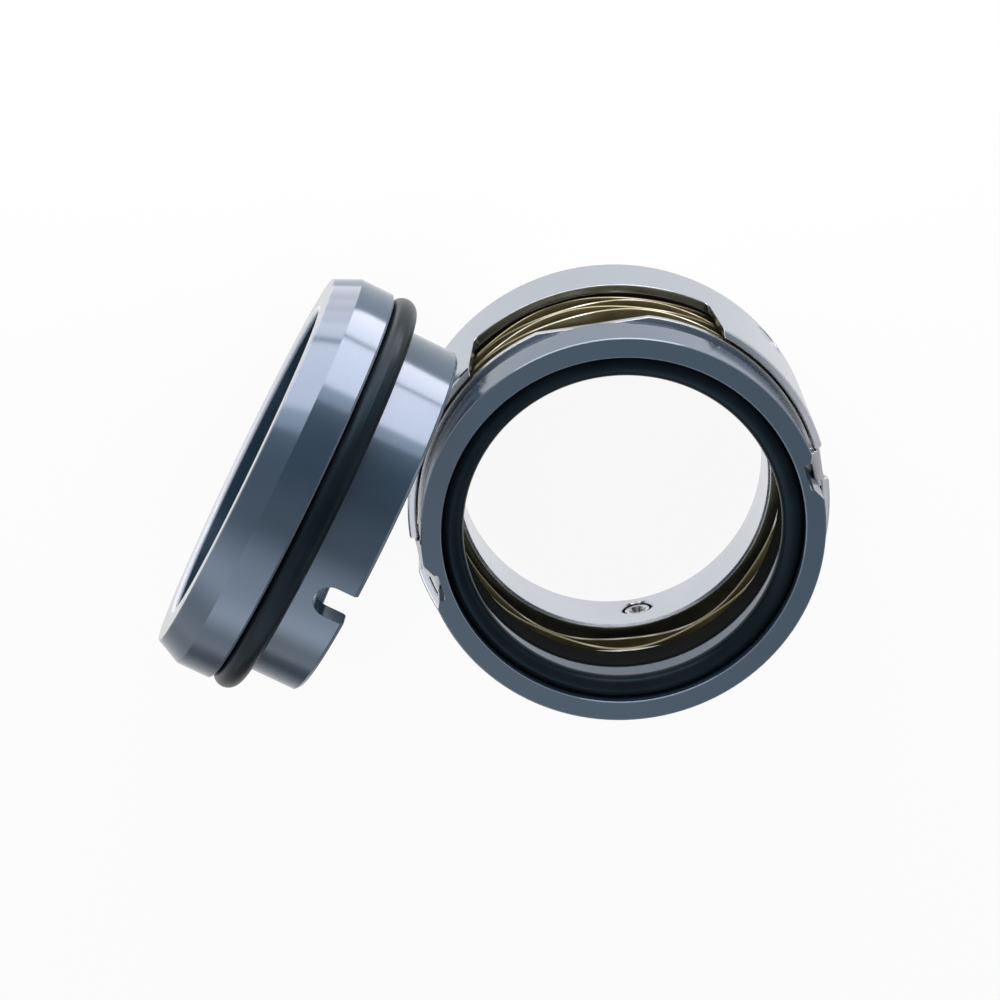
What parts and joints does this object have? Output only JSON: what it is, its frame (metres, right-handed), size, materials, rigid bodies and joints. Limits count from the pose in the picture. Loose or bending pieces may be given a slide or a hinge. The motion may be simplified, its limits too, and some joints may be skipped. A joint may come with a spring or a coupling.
{
  "type": "component mechanical seal",
  "caption": "Rotary shaft seal with a castellated drive collar, wave spring and hard running face, and its loose stationary seat with O-ring standing beside it.",
  "frame": {"origin": "centre of the drive collar's flat rear face, which the rotary unit stands on", "axes": "+Z along the shaft axis of the rotary unit, out of the collar towards the running face; the loose seat stands on its rim on the -X side, its running face turned away from the rotary unit"},
  "size_m": [0.1264, 0.0865, 0.0792],
  "materials": {
    "stainless_steel": "fine turned, satin",
    "screw_steel": "bright rolled",
    "spring_steel": "smooth flat wire, tempered",
    "ring_steel": "stamped and turned, satin",
    "rotary_carbide": "ground and lapped, dark slate",
    "seat_carbide": "ground and lapped, dark slate",
    "elastomer": "smooth, moulded"
  },
  "bodies": {
    "collar": {"drive_collar": "stainless_steel", "set_screw_1": "screw_steel", "set_screw_2": "screw_steel", "set_screw_3": "screw_steel", "wave_spring": "spring_steel", "seat_ring": "seat_carbide", "seat_o_ring": "elastomer"},
    "face_unit": {"drive_ring": "ring_steel", "seal_face": "rotary_carbide", "shaft_o_ring": "elastomer"}
  },
  "joints": [
    {"name": "face_slide", "type": "slide", "parent": "collar", "child": "face_unit", "axis": [0, 0, -1], "range_m": [0, 0.004], "stiffness_N_per_m": 30000, "deforming": ["wave_spring"]}
  ]
}
